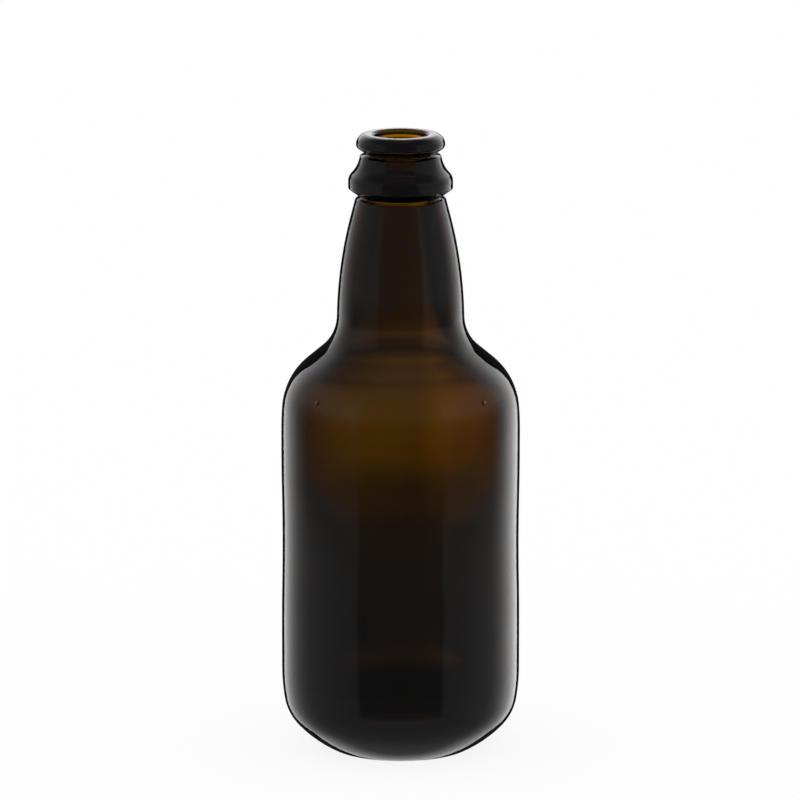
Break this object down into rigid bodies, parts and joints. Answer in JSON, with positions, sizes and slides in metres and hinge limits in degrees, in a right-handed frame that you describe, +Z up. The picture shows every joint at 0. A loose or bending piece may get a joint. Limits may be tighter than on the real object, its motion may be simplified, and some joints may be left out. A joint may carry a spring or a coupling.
{
  "type": "glass beer bottle",
  "caption": "Empty amber glass beer bottle: rounded heel, faintly waisted body, full shoulder, swelling neck, flared collar and an open crown-cork finish.",
  "frame": {"origin": "centre of the bearing ring, on the plane that the bottle stands on", "axes": "+Z up the bottle's axis; the bottle is round about it, with its front taken along -Y"},
  "size_m": [0.0716, 0.0716, 0.1872],
  "materials": {
    "glass": "glossy dark amber glass"
  },
  "bodies": {
    "root": {"bottle": "glass"}
  },
  "joints": []
}
